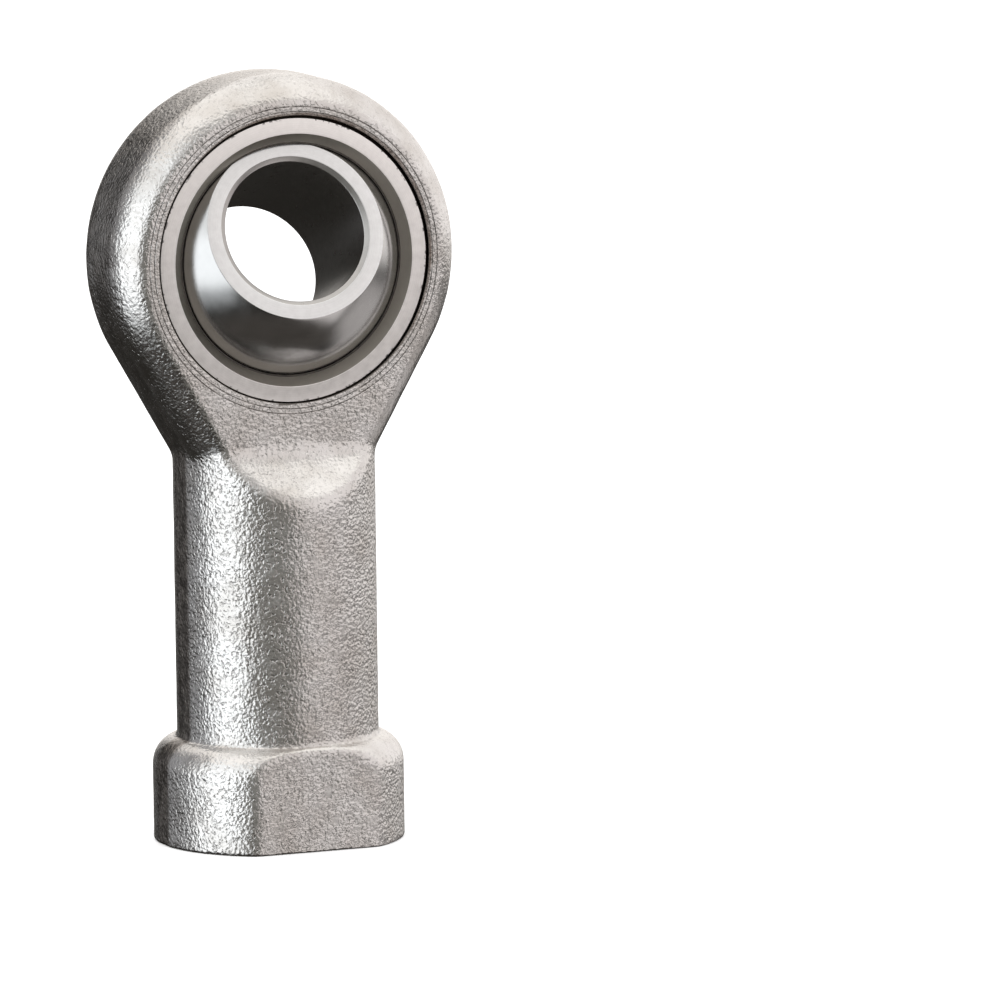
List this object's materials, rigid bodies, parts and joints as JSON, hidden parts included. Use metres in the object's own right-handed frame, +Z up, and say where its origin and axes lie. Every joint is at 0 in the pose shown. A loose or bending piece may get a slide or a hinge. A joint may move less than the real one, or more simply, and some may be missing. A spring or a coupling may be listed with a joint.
{
  "type": "rod end bearing",
  "caption": "Female rod end bearing: a forged eye on an internally threaded shank, holding a tilting spherical ball in a staked, PTFE-lined race.",
  "frame": {"origin": "centre of the shank's end face", "axes": "+Z up the shank to the eye, Y along the race's axis with the front face towards -Y, +X to the right seen from the front"},
  "size_m": [0.051, 0.0326, 0.1078],
  "materials": {
    "plated_forging": "plated, with the pebbled skin of a forging",
    "ground_race": "ground satin",
    "ptfe_liner": "dark woven PTFE, matte",
    "polished_ball": "mirror polish on the sphere, fine satin on the flat ends"
  },
  "bodies": {
    "eye": {"housing": "plated_forging", "outer_race": "ground_race", "ptfe_liner": "ptfe_liner"},
    "ball": {"inner_ball": "polished_ball"}
  },
  "joints": [
    {"name": "ball_tilt", "type": "hinge", "parent": "eye", "child": "ball", "pos_m": [0, 0, 0.0823], "axis": [-0.9839, 0, -0.1788], "range_deg": [-43.8, 1]}
  ]
}
